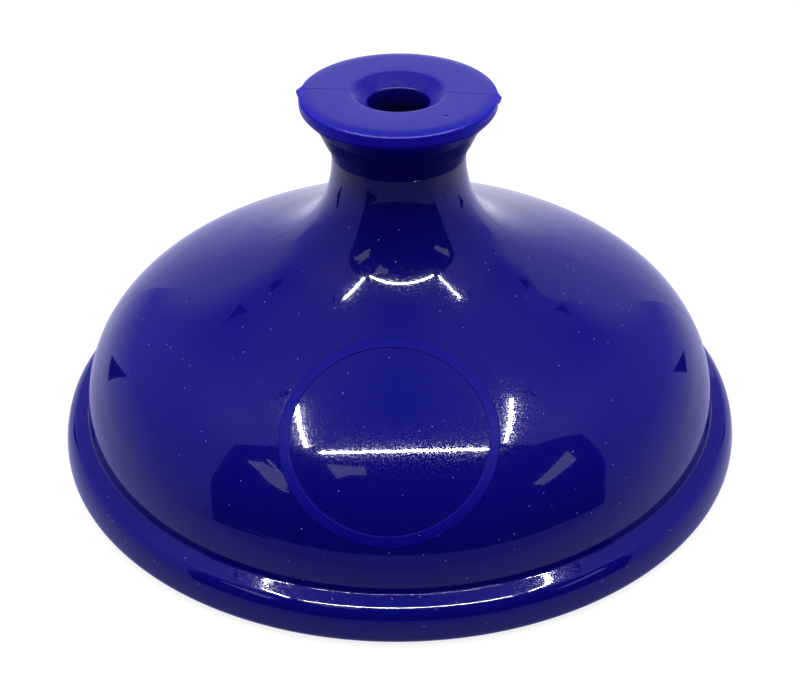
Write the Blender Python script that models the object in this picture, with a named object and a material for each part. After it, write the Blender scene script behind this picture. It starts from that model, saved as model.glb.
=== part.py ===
"""Plunger mute for a trombone, for Blender 4.5, in metres with +Z up.

A hollow rubber cup stands on a rim ring, and a finger knob with an air hole plugs into its neck.
The origin is on the cup's axis, on the surface that the rim ring stands on. The badge faces -Y.
"""

from math import acos, atan2, cos, degrees, pi, radians, sin, tan

import bmesh
import bpy
from mathutils import Matrix, Vector

MM = 0.001

# Clearances
SEAT_GAP = 0.3 * MM
SPIGOT_GAP = 0.3 * MM

# Cup: its outer wall is two cubic curves that meet at the waist of the S
CUP_RADIUS = 69.7 * MM
CUP_WALL = 3.0 * MM
WALL_FOOT = 8.5 * MM
WALL_DRAFT_DEG = 1.0
WALL_PULL = 19.5 * MM
SHOULDER_PULL = 14.6 * MM
WAIST_RADIUS = 39.3 * MM
WAIST_HEIGHT = 39.2 * MM
WAIST_SLOPE_DEG = 23.0
FLARE_PULL = 12.0 * MM
NECK_PULL = 19.3 * MM
NECK_RADIUS = 13.97 * MM
NECK_HEIGHT = 67.2 * MM
NECK_EDGE_ROUND = 0.35 * MM
NECK_WALL = 2.5 * MM
SOCKET_DEPTH = 12.0 * MM
SOCKET_LEDGE_ROUND = 0.8 * MM

# Badge: a bare raised ring moulded on the cup's front
BADGE_RADIUS = 21.3 * MM
BADGE_LINE = 2.1 * MM
BADGE_RISE = 0.4 * MM
BADGE_ROOT = 1.0 * MM
BADGE_HEIGHT = 33.3 * MM
BADGE_TILT_DEG = 53.5

# Rim ring: a bead outside the cup's edge, a floor under it and a lip inside it
BEAD_REACH = 5.3 * MM
BEAD_FOOT_ROUND = 2.1 * MM
BEAD_SIDE_ROUND = 10.9 * MM
BEAD_SIDE_DEG = 20.0
BEAD_SHOULDER_ROUND = 3.3 * MM
BEAD_TOP_DEG = 68.0
SEAM_ROUND = 0.95 * MM
RING_FLOOR = 2.5 * MM
LIP_THICKNESS = 2.2 * MM
LIP_HEIGHT = 7.8 * MM
LIP_FOOT_ROUND = 1.0 * MM

# Knob: a flange with a dished recess, a stepped collar and a spigot
FLANGE_RADIUS = 20.3 * MM
FLANGE_RISE = 13.0 * MM
FLANGE_EDGE = 1.9 * MM
FLANGE_EDGE_ROUND = 0.7 * MM
FLANGE_TOP_ROUND = 9.0 * MM
FLANGE_TOP_DEG = 74.0
FLANGE_LOW_ROUND = 1.5 * MM
CROWN = 0.35 * MM
RECESS_RADIUS = 9.6 * MM
RECESS_STEP = 0.35 * MM
RECESS_DEPTH = 1.65 * MM
BORE_RADIUS = 6.35 * MM
BORE_LIP_ROUND = 0.5 * MM
UNDERSIDE_INSET = 3.3 * MM
UNDERSIDE_DROP = 6.2 * MM
COLLAR_STEP_RISE = 2.8 * MM
COLLAR_FLARE = 1.25 * MM
COLLAR_STEP = 0.35 * MM
COLLAR_INSET = 0.24 * MM
SPIGOT_LENGTH = 13.0 * MM
SPIGOT_LEAD_IN = 1.5 * MM
SPIGOT_LEAD_DEG = 25.0

# Flash nibs where the two halves of the knob's mould meet
NIB_REACH = 0.45 * MM
NIB_WIDTH = 1.5 * MM
NIB_ROOT = 1.0 * MM
MOULD_TURN_DEG = -2.5

# Fineness of the facets
TURN_STEPS = 64
CURVE_STEPS = 11
WALL_STEPS = 8
ROUND_STEPS = 4
EDGE_STEPS = 3
BEAD_STEPS = 6
SIDE_STEPS = 3
BADGE_STEPS = 56
SHARP_ANGLE_DEG = 35.0

CUP_BLUE = (0.014, 0.010, 0.250, 1.0)
KNOB_BLUE = (0.050, 0.045, 0.360, 1.0)
RIM_BLUE = (0.013, 0.009, 0.240, 1.0)


def clear_scene():
    for obj in list(bpy.data.objects):
        bpy.data.objects.remove(obj, do_unlink=True)


def rubber(name, colour, roughness):
    material = bpy.data.materials.new(name)
    material.use_nodes = True
    shader = material.node_tree.nodes["Principled BSDF"]
    shader.inputs["Base Color"].default_value = colour
    shader.inputs["Roughness"].default_value = roughness
    shader.inputs["Metallic"].default_value = 0.0
    material.diffuse_color = colour
    return material


def arc(centre, radius, start_deg, end_deg, steps=ROUND_STEPS):
    """Points (radius, height) on an arc, both ends included, with angles counted from outwards to up."""
    angles = [radians(start_deg + (end_deg - start_deg) * i / steps) for i in range(steps + 1)]
    return [Vector((centre[0] + radius * cos(a), centre[1] + radius * sin(a))) for a in angles]


def cubic_point(span, t):
    a, b, c, d = span
    s = 1.0 - t
    return a * s**3 + b * (3.0 * s * s * t) + c * (3.0 * s * t * t) + d * t**3


def cubic_normal(span, t):
    """The unit normal on the outer side of a cubic curve that runs down the wall."""
    a, b, c, d = span
    s = 1.0 - t
    run = (b - a) * (s * s) + (c - b) * (2.0 * s * t) + (d - c) * (t * t)
    return Vector((-run.y, run.x)).normalized()


def ring_radius():
    return CUP_RADIUS + BEAD_REACH


def flange_top():
    return NECK_HEIGHT + FLANGE_RISE


def wall_spans():
    """The cup's outer wall as two cubic curves: the flare below the neck, then the shoulder."""
    slope = radians(WAIST_SLOPE_DEG)
    draft = radians(WALL_DRAFT_DEG)
    downhill = Vector((cos(slope), -sin(slope)))
    uphill = Vector((-sin(draft), cos(draft)))
    neck = Vector((NECK_RADIUS, NECK_HEIGHT - NECK_EDGE_ROUND))
    waist = Vector((WAIST_RADIUS, WAIST_HEIGHT))
    foot = Vector((CUP_RADIUS, WALL_FOOT))
    flare = (neck, neck - Vector((0.0, NECK_PULL)), waist - downhill * FLARE_PULL, waist)
    shoulder = (waist, waist + downhill * SHOULDER_PULL, foot + uphill * WALL_PULL, foot)
    return flare, shoulder


def wall_line(offset, steps):
    """The outer wall from neck to foot, moved along its normals by offset, which is below 0 inwards."""
    points = []
    for span in wall_spans():
        start = 1 if points else 0
        for i in range(start, steps + 1):
            t = i / steps
            points.append(cubic_point(span, t) + cubic_normal(span, t) * offset)
    return points


def cup_outline():
    round_centre = (NECK_RADIUS - NECK_EDGE_ROUND, NECK_HEIGHT - NECK_EDGE_ROUND)
    neck_top = arc(round_centre, NECK_EDGE_ROUND, 90.0, 0.0, EDGE_STEPS)
    outside = neck_top[:-1] + wall_line(0.0, CURVE_STEPS)
    edge = RING_FLOOR + SEAT_GAP
    inner_foot = CUP_RADIUS - CUP_WALL
    foot = [Vector((CUP_RADIUS, edge)), Vector((inner_foot, edge))]
    socket = NECK_RADIUS - NECK_WALL
    ledge = NECK_HEIGHT - SOCKET_DEPTH
    below_ledge = [p for p in wall_line(-CUP_WALL, WALL_STEPS) if p.y < ledge - SOCKET_LEDGE_ROUND]
    inside = [p for p in below_ledge if p.x > socket + SOCKET_LEDGE_ROUND]
    lip_centre = (socket + SOCKET_LEDGE_ROUND, ledge + SOCKET_LEDGE_ROUND)
    lip = arc(lip_centre, SOCKET_LEDGE_ROUND, 270.0, 180.0, EDGE_STEPS)
    return outside + foot + inside[::-1] + lip + [Vector((socket, NECK_HEIGHT))]


def bead_outline(channel_out):
    """The bead from the hollow round that meets the cup's wall, over its top and side, to its foot."""
    side_centre = Vector((ring_radius() - BEAD_SIDE_ROUND, BEAD_FOOT_ROUND))
    side = arc(side_centre, BEAD_SIDE_ROUND, BEAD_SIDE_DEG, 0.0, SIDE_STEPS)
    lean = Vector((cos(radians(BEAD_SIDE_DEG)), sin(radians(BEAD_SIDE_DEG))))
    shoulder_centre = side[0] - lean * BEAD_SHOULDER_ROUND
    shoulder = arc(shoulder_centre, BEAD_SHOULDER_ROUND, BEAD_TOP_DEG, BEAD_SIDE_DEG, BEAD_STEPS)
    top = radians(BEAD_TOP_DEG)
    seam_x = CUP_RADIUS + SEAM_ROUND
    slope_end = seam_x - SEAM_ROUND * cos(top)
    slope_height = shoulder[0].y + (shoulder[0].x - slope_end) / tan(top)
    seam_centre = (seam_x, slope_height + SEAM_ROUND * sin(top))
    lip_deg = degrees(acos((seam_x - channel_out) / SEAM_ROUND))
    seam = arc(seam_centre, SEAM_ROUND, 180.0 + lip_deg, 180.0 + BEAD_TOP_DEG, EDGE_STEPS)
    foot = arc((ring_radius() - BEAD_FOOT_ROUND, BEAD_FOOT_ROUND), BEAD_FOOT_ROUND, 0.0, -90.0)
    return seam + shoulder + side[1:] + foot[1:]


def ring_outline():
    channel_out = CUP_RADIUS + SEAT_GAP
    channel_in = CUP_RADIUS - CUP_WALL - SEAT_GAP
    lip_in = channel_in - LIP_THICKNESS
    inner_foot = arc((lip_in + LIP_FOOT_ROUND, LIP_FOOT_ROUND), LIP_FOOT_ROUND, 270.0, 180.0, EDGE_STEPS)
    crest = LIP_THICKNESS / 2.0
    lip = arc((lip_in + crest, LIP_HEIGHT - crest), crest, 180.0, 0.0)
    channel = [Vector((channel_in, RING_FLOOR)), Vector((channel_out, RING_FLOOR))]
    return bead_outline(channel_out) + inner_foot + lip + channel


def flange_edge(top):
    """The flange's top where it falls away to its edge: a wide round, then a small one down to the side."""
    turn_out = Vector((cos(radians(FLANGE_TOP_DEG)), sin(radians(FLANGE_TOP_DEG))))
    small_centre = Vector((FLANGE_RADIUS - FLANGE_EDGE_ROUND, top - FLANGE_EDGE_ROUND))
    small = arc(small_centre, FLANGE_EDGE_ROUND, FLANGE_TOP_DEG, 0.0)
    wide_centre = small[0] - turn_out * FLANGE_TOP_ROUND
    wide = arc(wide_centre, FLANGE_TOP_ROUND, 90.0, FLANGE_TOP_DEG, EDGE_STEPS)
    return wide + small[1:]


def knob_outline():
    top = flange_top()
    rim = Vector((RECESS_RADIUS, top + CROWN))
    mouth = Vector((BORE_RADIUS, top - RECESS_DEPTH))
    step_foot = Vector((RECESS_RADIUS - RECESS_STEP / 2.0, rim.y - RECESS_STEP))
    fall = degrees(atan2(step_foot.y - mouth.y, step_foot.x - mouth.x))
    lip_centre = mouth + Vector((BORE_LIP_ROUND, -BORE_LIP_ROUND))
    lip = arc(lip_centre, BORE_LIP_ROUND, 180.0, 90.0 + fall, EDGE_STEPS)
    low_centre = Vector((FLANGE_RADIUS - FLANGE_LOW_ROUND, top - FLANGE_EDGE))
    under_end = Vector((FLANGE_RADIUS - UNDERSIDE_INSET, top - UNDERSIDE_DROP))
    reach = under_end - low_centre
    under_deg = degrees(atan2(reach.y, reach.x) + acos(FLANGE_LOW_ROUND / reach.length))
    under = arc(low_centre, FLANGE_LOW_ROUND, 0.0, under_deg) + [under_end]
    collar_foot = NECK_RADIUS - COLLAR_INSET
    collar_step = Vector((collar_foot + COLLAR_FLARE, NECK_HEIGHT + COLLAR_STEP_RISE))
    collar = [
        collar_step,
        collar_step - Vector((COLLAR_STEP, COLLAR_STEP)),
        Vector((collar_foot, NECK_HEIGHT + SEAT_GAP)),
    ]
    spigot_radius = NECK_RADIUS - NECK_WALL - SPIGOT_GAP
    end = NECK_HEIGHT - SPIGOT_LENGTH
    lead = SPIGOT_LEAD_IN * tan(radians(SPIGOT_LEAD_DEG))
    spigot = [
        Vector((spigot_radius, NECK_HEIGHT + SEAT_GAP)),
        Vector((spigot_radius, end + SPIGOT_LEAD_IN)),
        Vector((spigot_radius - lead, end)),
        Vector((BORE_RADIUS + BORE_LIP_ROUND, end)),
        Vector((BORE_RADIUS, end + BORE_LIP_ROUND)),
    ]
    return lip + [step_foot, rim] + flange_edge(top) + under + collar + spigot


def turned(outline, steps=TURN_STEPS):
    """A mesh turned round the Z axis from a closed outline of (radius, height) points."""
    shape = bmesh.new()
    corners = [shape.verts.new((radius, 0.0, height)) for radius, height in outline]
    for first, second in zip(corners, corners[1:] + corners[:1]):
        shape.edges.new((first, second))
    bmesh.ops.spin(
        shape,
        geom=shape.verts[:] + shape.edges[:],
        cent=(0.0, 0.0, 0.0),
        axis=(0.0, 0.0, 1.0),
        angle=2.0 * pi,
        steps=steps,
        use_merge=True,
    )
    bmesh.ops.recalc_face_normals(shape, faces=shape.faces)
    return shape


def finished(name, shape, material=None):
    mesh = bpy.data.meshes.new(name)
    shape.to_mesh(mesh)
    shape.free()
    mesh.shade_smooth()
    mesh.set_sharp_from_angle(angle=radians(SHARP_ANGLE_DEG))
    obj = bpy.data.objects.new(name, mesh)
    bpy.context.scene.collection.objects.link(obj)
    if material:
        mesh.materials.append(material)
    return obj


def as_cutter(obj):
    obj.hide_render = True
    obj.display_type = "WIRE"
    return obj


def combine(obj, other, operation):
    modifier = obj.modifiers.new(other.name, "BOOLEAN")
    modifier.operation = operation
    modifier.object = other
    modifier.solver = "EXACT"


def badge_centre():
    """The point (radius, height) of the outer wall at the badge's height."""
    wall = wall_line(0.0, BADGE_STEPS)
    above, below = next(pair for pair in zip(wall, wall[1:]) if pair[0].y >= BADGE_HEIGHT > pair[1].y)
    return above.lerp(below, (above.y - BADGE_HEIGHT) / (above.y - below.y))


def badge_tube():
    """A tube square to the badge, long enough to pass through the curved wall all round."""
    inner = BADGE_RADIUS - BADGE_LINE
    reach = BADGE_RADIUS / 2.0
    outline = [(BADGE_RADIUS, -reach), (BADGE_RADIUS, reach), (inner, reach), (inner, -reach)]
    shape = turned(outline, BADGE_STEPS)
    centre = badge_centre()
    tilt = Matrix.Rotation(radians(90.0 - BADGE_TILT_DEG), 4, "X")
    place = Matrix.Translation((0.0, -centre.x, centre.y))
    bmesh.ops.transform(shape, matrix=place @ tilt, verts=shape.verts)
    return as_cutter(finished("badge_tube", shape))


def badge_skin():
    """A skin on the outer wall, from just under its surface to the badge's rise above it."""
    low, high = WALL_FOOT, NECK_HEIGHT - NECK_PULL
    outside = [p for p in wall_line(BADGE_RISE, CURVE_STEPS) if low < p.y < high]
    root = [p for p in wall_line(-BADGE_ROOT, CURVE_STEPS) if low < p.y < high]
    return as_cutter(finished("badge_skin", turned(outside + root[::-1])))


def flash_nib(side):
    """A wedge of flash on the flange's edge, pointing along the mould's parting plane."""
    top = flange_top() - FLANGE_EDGE_ROUND
    low = flange_top() - FLANGE_EDGE
    inner = FLANGE_RADIUS - NIB_ROOT
    half = NIB_WIDTH / 2.0
    tip = FLANGE_RADIUS + NIB_REACH
    shape = bmesh.new()
    upper = [shape.verts.new(p) for p in ((inner, -half, top), (tip, 0.0, top), (inner, half, top))]
    lower = [shape.verts.new(p) for p in ((inner, -half, low), (FLANGE_RADIUS, 0.0, low), (inner, half, low))]
    shape.faces.new(upper)
    shape.faces.new(lower[::-1])
    for i in range(3):
        j = (i + 1) % 3
        shape.faces.new((upper[j], upper[i], lower[i], lower[j]))
    turn = radians(MOULD_TURN_DEG) + (0.0 if side > 0 else pi)
    bmesh.ops.rotate(shape, verts=shape.verts, cent=(0.0, 0.0, 0.0), matrix=Matrix.Rotation(turn, 3, "Z"))
    bmesh.ops.recalc_face_normals(shape, faces=shape.faces)
    return as_cutter(finished("flash_nib_right" if side > 0 else "flash_nib_left", shape))


def cup_shell():
    cup = finished("cup_shell", turned(cup_outline()), rubber("gloss_blue", CUP_BLUE, 0.12))
    tube = badge_tube()
    combine(tube, badge_skin(), "INTERSECT")
    combine(cup, tube, "UNION")
    return cup


def rim_ring():
    return finished("rim_ring", turned(ring_outline()), rubber("rim_blue", RIM_BLUE, 0.15))


def knob_plug():
    knob = finished("knob_plug", turned(knob_outline()), rubber("satin_blue", KNOB_BLUE, 0.55))
    for side in (-1, 1):
        combine(knob, flash_nib(side), "UNION")
    return knob


def main():
    clear_scene()
    cup_shell()
    rim_ring()
    knob_plug()


main()
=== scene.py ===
"""Trombone plunger mute: its moulded rubber, a light tent and the camera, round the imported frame.

Lengths are in metres. The cup's axis is +Z, the mute stands on z = 0 and its badge ring faces -Y.
"""

from math import acos, atan2, cos, degrees, pi, radians, sin, tan

import bpy
from bpy.props import FloatProperty, FloatVectorProperty, IntProperty, PointerProperty
from mathutils import Matrix, Quaternion, Vector


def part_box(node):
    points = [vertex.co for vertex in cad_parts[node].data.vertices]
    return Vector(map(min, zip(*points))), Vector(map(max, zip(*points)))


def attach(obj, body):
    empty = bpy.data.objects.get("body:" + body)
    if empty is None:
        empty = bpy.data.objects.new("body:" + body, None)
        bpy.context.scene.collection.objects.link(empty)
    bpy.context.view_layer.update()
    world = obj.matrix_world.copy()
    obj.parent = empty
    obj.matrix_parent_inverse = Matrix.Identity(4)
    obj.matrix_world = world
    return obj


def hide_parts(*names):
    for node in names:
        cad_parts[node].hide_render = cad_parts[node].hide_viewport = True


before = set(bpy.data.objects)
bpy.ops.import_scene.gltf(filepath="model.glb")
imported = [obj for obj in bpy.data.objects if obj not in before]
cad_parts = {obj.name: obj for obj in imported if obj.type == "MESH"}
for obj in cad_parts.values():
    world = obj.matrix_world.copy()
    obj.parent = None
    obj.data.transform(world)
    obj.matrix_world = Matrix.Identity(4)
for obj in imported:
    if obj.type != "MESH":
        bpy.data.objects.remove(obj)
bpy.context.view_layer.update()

bl_info = {
    "name": "Plunger Mute",
    "version": (1, 0, 0),
    "blender": (4, 5, 0),
    "location": "3D View > Sidebar > Mute",
    "description": "Models a trombone plunger mute, finishes its rubber and sets up its light tent",
    "category": "Object",
}

MM = 0.001
SHARP_ANGLE = radians(30.0)

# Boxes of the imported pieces, which the sizes below start from
CUP_LOW, CUP_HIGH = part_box("cup_shell")
RIM_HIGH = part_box("rim_ring")[1]
KNOB_LOW, KNOB_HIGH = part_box("knob_plug")

# Small roundings and clearances that nobody would change
SEAT_GAP = 0.3 * MM
SEAM_GAP = 0.02 * MM
NECK_EDGE_ROUND = 0.15 * MM
RECESS_ROUND = 0.8 * MM
SOCKET_LEDGE_ROUND = 0.8 * MM
LIP_FOOT_ROUND = 1.0 * MM
BORE_LIP_ROUND = 0.6 * MM
WELD = 0.001 * MM

# The mould lines' ridges: their radius, and how deep their middle lies under the wall
RIDGE_RADIUS = 0.12 * MM
RIDGE_SINK = 0.095 * MM

# The flash nibs, as shares of the nib's or the flange edge's own size
NIB_STRETCH = 5.0
NIB_TAPER = 0.8
NIB_SOFTNESS = 0.2
NIB_DROP = 0.4

# The rubber's patterns: their scales per metre, and the sizes of what they show
RUBBER_IOR = 1.5
GLOSS_DUST_SCALE, GLOSS_DUST_SPECK = 380.0, 0.14 * MM
GLOSS_SMUDGE_SCALE, GLOSS_PIGMENT_SCALE = 4000.0, 90.0
GLOSS_WAVE_SCALE, GLOSS_WAVE_HEIGHT = 120.0, 0.0012 * MM
SATIN_DUST_SCALE, SATIN_DUST_SPECK = 420.0, 0.11 * MM
SATIN_SMUDGE_SCALE, SATIN_PIGMENT_SCALE = 700.0, 260.0
SATIN_GRAIN_SCALE, SATIN_GRAIN_HEIGHT = 3600.0, 0.012 * MM
DUST_ROUGHNESS = 0.6
BADGE_GLOSS, KNOB_GLOSS = 0.03, 0.19

# The neck's painted shade under the knob's flange: its heights and colour
NECK_SHADE_START, NECK_SHADE_END = 60.5 * MM, 64.0 * MM
NECK_SHADE = (0.002, 0.002, 0.004, 1.0)

# The knob's marks: the parting line's half width and step, and the dent's place and depth
PARTING_CORE, PARTING_REACH, PARTING_STEP = 0.05 * MM, 0.16 * MM, 0.05 * MM
DENT_PLACE = (9.76 * MM, -11.50 * MM, 80.52 * MM)
DENT_DEPTH = 0.15 * MM

# Where the knob's painted light starts and ends: painted shade on the collar and bore below its crown, a
# painted glow on the side inside its edge
COLLAR_SHADE_START, COLLAR_SHADE_END = 3.0 * MM, 8.0 * MM
BORE_SHADE_START, BORE_SHADE_END = 2.2 * MM, 6.5 * MM
SIDE_GLOW_START, SIDE_GLOW_END = 1.6 * MM, 0.2 * MM

# The light tent's planes, and the height that its light bars shine at
TENT_SIDE = 0.145
TENT_REAR = 0.140
TENT_TOP = 0.212
TENT_SILL = -0.002
BAR_AIM = 40.0 * MM

# The tent cloth's soft spots: centre, with x for both sides, reach and colour
CLOTH_SPOTS = (
    ((TENT_SIDE, -0.030, 0.190), 0.080, (0.42, 0.38, 1.22)),
    ((TENT_SIDE, 0.095, 0.168), 0.055, (0.14, 0.13, 0.85)),
    ((0.0, -0.030, TENT_TOP), 0.060, (0.13, 0.14, 1.03)),
    ((TENT_SIDE, 0.145, 0.115), 0.055, (0.42, 0.41, 0.85)),
)

# The photograph's frame in pixels: its width, and how far the camera's axis is off its middle
PHOTO_WIDTH = 800
OFF_CENTRE = 30


def length(name, about, default):
    return FloatProperty(name=name, description=about, default=default, min=0.0, precision=5,
                         unit="LENGTH", subtype="DISTANCE")


def turn(name, about, degrees_default):
    return FloatProperty(name=name, description=about, default=radians(degrees_default),
                         unit="ROTATION", subtype="ANGLE")


def share(name, about, default):
    return FloatProperty(name=name, description=about, default=default, min=0.0, max=1.0, subtype="FACTOR")


def level(name, about, default):
    return FloatProperty(name=name, description=about, default=default, min=0.0)


def count(name, about, default):
    return IntProperty(name=name, description=about, default=default, min=3)


def colour(name, about, default):
    return FloatVectorProperty(name=name, description=about, default=default, size=4, min=0.0, max=1.0,
                               subtype="COLOR")


class MuteCup(bpy.types.PropertyGroup):
    radius: length("Foot radius", "Outer radius of the cup at its foot", CUP_HIGH.x)
    foot: length("Foot height", "Height of the cup's lower edge, inside the rim ring", CUP_LOW.z)
    wall_foot: length("Wall foot", "Height where the wall's curve starts", 8.5 * MM)
    wall: length("Wall", "Thickness of the rubber wall", 3.0 * MM)
    draft: turn("Draft", "Lean of the wall above the rim ring", 1.0)
    shoulder_pull: length("Shoulder pull", "Reach of the shoulder's curve below the waist", 14.6 * MM)
    wall_pull: length("Wall pull", "Reach of the wall's curve above the foot", 19.5 * MM)
    waist_radius: length("Waist radius", "Radius where flare and shoulder meet", 39.3 * MM)
    waist_height: length("Waist height", "Height where flare and shoulder meet", 39.2 * MM)
    waist_slope: turn("Waist slope", "Fall of the wall at the waist", 23.0)
    flare_pull: length("Flare pull", "Reach of the flare's curve above the waist", 12.0 * MM)
    neck_pull: length("Neck pull", "Reach of the flare's curve below the neck", 19.3 * MM)
    neck_radius: length("Neck radius", "Outer radius of the neck", 13.97 * MM)
    neck_height: length("Neck height", "Height of the neck's rim", CUP_HIGH.z)
    neck_wall: length("Neck wall", "Wall round the knob's socket", 2.5 * MM)
    socket_depth: length("Socket depth", "Depth of the knob's socket", 12.0 * MM)
    turn_steps: count("Turn steps", "Faces round the cup", 256)
    curve_steps: count("Curve steps", "Faces along each curve of the wall", 44)


class MuteBadge(bpy.types.PropertyGroup):
    radius: length("Radius", "Outer radius of the raised ring", 21.3 * MM)
    line: length("Line", "Width of the raised ring", 2.1 * MM)
    rise: length("Rise", "Height of the ring above the wall", 0.22 * MM)
    root: length("Root", "Depth that the ring reaches into the wall", 1.0 * MM)
    edge: length("Edge", "Rounding of the ring's edges", 0.2 * MM)
    height: length("Height", "Height of the ring's centre on the wall", 33.3 * MM)
    tilt: turn("Tilt", "Rise of the ring's plane from level", 53.5)
    steps: count("Steps", "Faces round the ring", 192)


class MuteRim(bpy.types.PropertyGroup):
    radius: length("Radius", "Outer radius of the rim ring", RIM_HIGH.x)
    foot_round: length("Foot round", "Radius of the bead's lower side", 2.1 * MM)
    side_round: length("Side round", "Radius of the bead's gently curved side", 10.9 * MM)
    side_lean: turn("Side lean", "Angle of the surface where side and shoulder meet", 20.0)
    shoulder_round: length("Shoulder round", "Radius of the bead's shoulder", 3.3 * MM)
    top_lean: turn("Top lean", "Angle of the surface where shoulder and top meet", 73.0)
    seam_round: length("Seam round", "Radius of the hollow round that meets the cup's wall", 0.5 * MM)
    floor: length("Floor", "Thickness under the cup's edge", 2.5 * MM)
    lip_thickness: length("Lip thickness", "Thickness of the lip inside the cup", 2.2 * MM)
    lip_height: length("Lip height", "Height of the lip inside the cup", 7.8 * MM)
    turn_steps: count("Turn steps", "Faces round the rim ring", 256)


class MuteKnob(bpy.types.PropertyGroup):
    radius: length("Flange radius", "Outer radius of the flange", KNOB_HIGH.y)
    crown_height: length("Crown height", "Height of the knob's highest edge", KNOB_HIGH.z)
    crown: length("Crown", "Rise of the flange's top towards its recess", 0.35 * MM)
    edge: length("Edge", "Height of the flange's side", 1.9 * MM)
    edge_round: length("Edge round", "Rounding of the flange's upper edge", 0.7 * MM)
    top_round: length("Top round", "Radius of the top where it falls away to its edge", 9.0 * MM)
    top_lean: turn("Top lean", "Angle of the surface where that round meets the edge", 74.0)
    low_round: length("Low round", "Rounding of the flange's lower edge", 1.5 * MM)
    recess_radius: length("Recess radius", "Radius of the dished recess", 9.6 * MM)
    recess_depth: length("Recess depth", "Depth of the bore's mouth under the flange's edge", 1.65 * MM)
    bore_radius: length("Bore radius", "Radius of the air hole", 6.35 * MM)
    underside_inset: length("Underside inset", "How far the flange's underside draws in", 3.3 * MM)
    underside_drop: length("Underside drop", "How far the flange's underside falls", 6.2 * MM)
    collar_rise: length("Collar step rise", "Height of the collar's step above the neck", 2.8 * MM)
    collar_flare: length("Collar flare", "How much wider the collar is at its step", 1.25 * MM)
    collar_step: length("Collar step", "Size of the collar's step", 0.35 * MM)
    collar_inset: length("Collar inset", "How far the collar's foot stands inside the neck's rim", 0.0)
    spigot_end: length("Spigot end", "Height of the spigot's lower end", KNOB_LOW.z)
    lead_in: length("Lead-in", "Length of the spigot's tapered end", 1.5 * MM)
    lead_angle: turn("Lead angle", "Taper of the spigot's end", 25.0)
    nib_reach: length("Nib reach", "How far the flash nibs stand out of the flange", 0.75 * MM)
    nib_depth: length("Nib depth", "Radial depth of the flash nibs, most of it in the flange", 1.9 * MM)
    nib_height: length("Nib height", "Height of the flash nibs", 1.2 * MM)
    mould_turn: turn("Mould turn", "Turn of the mould's parting plane from the X axis", -2.5)
    turn_steps: count("Turn steps", "Faces round the knob", 224)


class MuteFinish(bpy.types.PropertyGroup):
    cup_blue: colour("Cup blue", "Colour of the cup's rubber", (0.0020, 0.0022, 0.160, 1.0))
    rim_blue: colour("Rim blue", "Colour of the rim ring's rubber", (0.0020, 0.0020, 0.155, 1.0))
    badge_blue: colour("Badge blue", "Colour of the badge ring's satin rubber", (0.0022, 0.0022, 0.228, 1.0))
    knob_blue: colour("Knob blue", "Colour of the knob's rubber", (0.0040, 0.0020, 0.290, 1.0))
    dust: colour("Dust", "Colour of the dust specks", (0.200, 0.220, 0.420, 1.0))
    gloss_roughness: share("Gloss roughness", "Roughness of the clean gloss rubber", 0.02)
    speck_roughness: share("Speck roughness", "Roughness of the fine mottling in the gloss", 0.18)
    badge_roughness: share("Badge roughness", "Roughness of the badge ring's satin rubber", 0.45)
    satin_roughness: share("Satin roughness", "Roughness of the knob's satin rubber", 0.31)


class MuteStage(bpy.types.PropertyGroup):
    fill_top: level("Top fill", "Soft light from straight above", 2.1)
    fill_back: level("Back fill", "Soft light from the back", 1.0)
    fill_side: level("Side fill", "Soft light from both sides", 0.75)
    bar_radiance: level("Bar radiance", "Brightness of the three light bars", 320.0)
    bar_width: length("Bar width", "Width of the light bars", 2.6 * MM)
    lens: FloatProperty(name="Lens", description="The camera's focal length in mm on a 36 mm sensor",
                        default=70.32, min=1.0, unit="CAMERA", subtype="DISTANCE_CAMERA")


def deselect():
    if bpy.context.object and bpy.context.object.mode != "OBJECT":
        bpy.ops.object.mode_set(mode="OBJECT")
    bpy.ops.object.select_all(action="DESELECT")


def name_piece(name):
    piece = bpy.context.object
    piece.name = name
    piece.data.name = name
    return piece


def arc(centre, radius, start_deg, end_deg, steps=8):
    """Points (radius, height) on an arc, both ends included, with angles counted from outwards to up."""
    angles = [radians(start_deg + (end_deg - start_deg) * i / steps) for i in range(steps + 1)]
    return [Vector((centre[0] + radius * cos(a), centre[1] + radius * sin(a))) for a in angles]


def cubic_point(span, t):
    a, b, c, d = span
    s = 1.0 - t
    return a * s**3 + b * (3.0 * s * s * t) + c * (3.0 * s * t * t) + d * t**3


def cubic_normal(span, t):
    """The unit normal on the outer side of a cubic curve that runs down the wall."""
    a, b, c, d = span
    s = 1.0 - t
    run = (b - a) * (s * s) + (c - b) * (2.0 * s * t) + (d - c) * (t * t)
    return Vector((-run.y, run.x)).normalized()


def wall_spans(cup):
    """The cup's outer wall as two cubic curves: the flare below the neck, then the shoulder."""
    downhill = Vector((cos(cup.waist_slope), -sin(cup.waist_slope)))
    uphill = Vector((-sin(cup.draft), cos(cup.draft)))
    neck = Vector((cup.neck_radius, cup.neck_height - NECK_EDGE_ROUND))
    waist = Vector((cup.waist_radius, cup.waist_height))
    foot = Vector((cup.radius, cup.wall_foot))
    flare = (neck, neck - Vector((0.0, cup.neck_pull)), waist - downhill * cup.flare_pull, waist)
    shoulder = (waist, waist + downhill * cup.shoulder_pull, foot + uphill * cup.wall_pull, foot)
    return flare, shoulder


def wall_line(cup, offset):
    """The outer wall from neck to foot, moved along its normals by offset, which is below 0 inwards."""
    points = []
    for span in wall_spans(cup):
        start = 1 if points else 0
        for i in range(start, cup.curve_steps + 1):
            t = i / cup.curve_steps
            points.append(cubic_point(span, t) + cubic_normal(span, t) * offset)
    return points


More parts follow.
